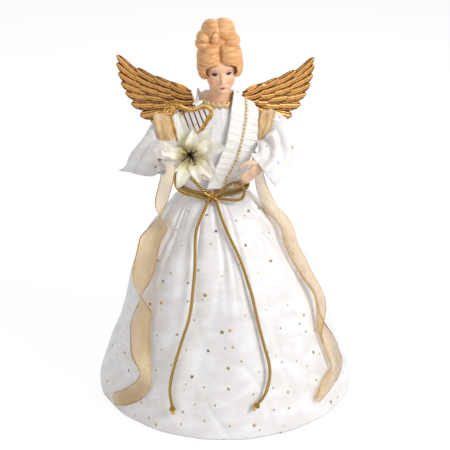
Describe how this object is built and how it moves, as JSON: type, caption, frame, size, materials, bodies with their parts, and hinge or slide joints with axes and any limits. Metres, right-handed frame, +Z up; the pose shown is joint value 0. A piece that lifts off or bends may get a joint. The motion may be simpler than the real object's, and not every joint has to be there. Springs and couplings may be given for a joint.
{
  "type": "angel tree topper",
  "caption": "Angel doll tree topper: gathered star-print satin skirt over a card cone, gold feathered wings, harp, white poinsettia, lace ruffle, corded belt and organza ribbons.",
  "frame": {"origin": "middle of the card cone's open base, on the surface it stands on", "axes": "+Z up, -Y to the front, +X to the angel's left"},
  "size_m": [0.284, 0.2836, 0.406],
  "materials": {
    "satin": "white satin with scattered gold foil stars",
    "card": "plain stiff card",
    "paper_core": "pressed paper core",
    "organza": "sheer champagne organza with gold wired edges",
    "painted_bisque": "matt painted bisque",
    "hair_paint": "moulded hair, painted strawberry blonde",
    "gold_braid": "metallic gold braid",
    "lace": "white lace",
    "gold_cord": "twisted metallic gold cord",
    "antique_gold": "gold plated moulding with dark patina in the recesses",
    "wire": "plain steel wire and plate",
    "silk_petal": "cream silk petals with glitter edges",
    "stamen": "dark stamens with gold tips"
  },
  "bodies": {
    "root": {"skirt_cone": "card", "skirt": "satin", "torso_form": "paper_core", "bodice": "satin", "waist_sash": "organza", "head": "painted_bisque", "hair": "hair_paint", "neckline_braid": "gold_braid", "lace_ruffle": "lace", "ruffle_braid": "gold_braid", "lace_collar": "lace", "shoulder_ribbon_left": "organza", "shoulder_ribbon_right": "organza", "ribbon_left": "organza", "ribbon_right": "organza", "belt_cord": "gold_cord", "bow_loop_left": "gold_cord", "bow_loop_right": "gold_cord", "cord_tail_left": "gold_cord", "cord_tail_right": "gold_cord", "tail_knot_left": "gold_cord", "tail_knot_right": "gold_cord", "belt_star": "antique_gold", "wing_bracket": "wire", "wing_pin_left": "wire", "wing_pin_right": "wire"},
    "arm_left": {"arm_wire_left": "wire", "sleeve_left": "satin", "hand_left": "painted_bisque"},
    "arm_right": {"arm_wire_right": "wire", "sleeve_right": "satin", "hand_right": "painted_bisque", "harp": "antique_gold", "flower_outer_petals": "silk_petal", "flower_inner_petals": "silk_petal", "flower_stamens": "stamen", "flower_stem": "stamen"},
    "wing_left": {"wing_left": "antique_gold"},
    "wing_right": {"wing_right": "antique_gold"}
  },
  "joints": [
    {"name": "arm_left_swing", "type": "hinge", "parent": "root", "child": "arm_left", "pos_m": [0.034, 0, 0.301], "axis": [-1, 0, 0], "range_deg": [0, 40]},
    {"name": "arm_right_swing", "type": "hinge", "parent": "root", "child": "arm_right", "pos_m": [-0.048, 0, 0.301], "axis": [-1, 0, 0], "range_deg": [0, 25]},
    {"name": "wing_left_fold", "type": "hinge", "parent": "root", "child": "wing_left", "pos_m": [0.00672, 0.0364, 0.288], "axis": [0, 0, 1], "range_deg": [-10, 55]},
    {"name": "wing_right_fold", "type": "hinge", "parent": "root", "child": "wing_right", "pos_m": [-0.02328, 0.0364, 0.288], "axis": [0, 0, -1], "range_deg": [-10, 55]}
  ]
}
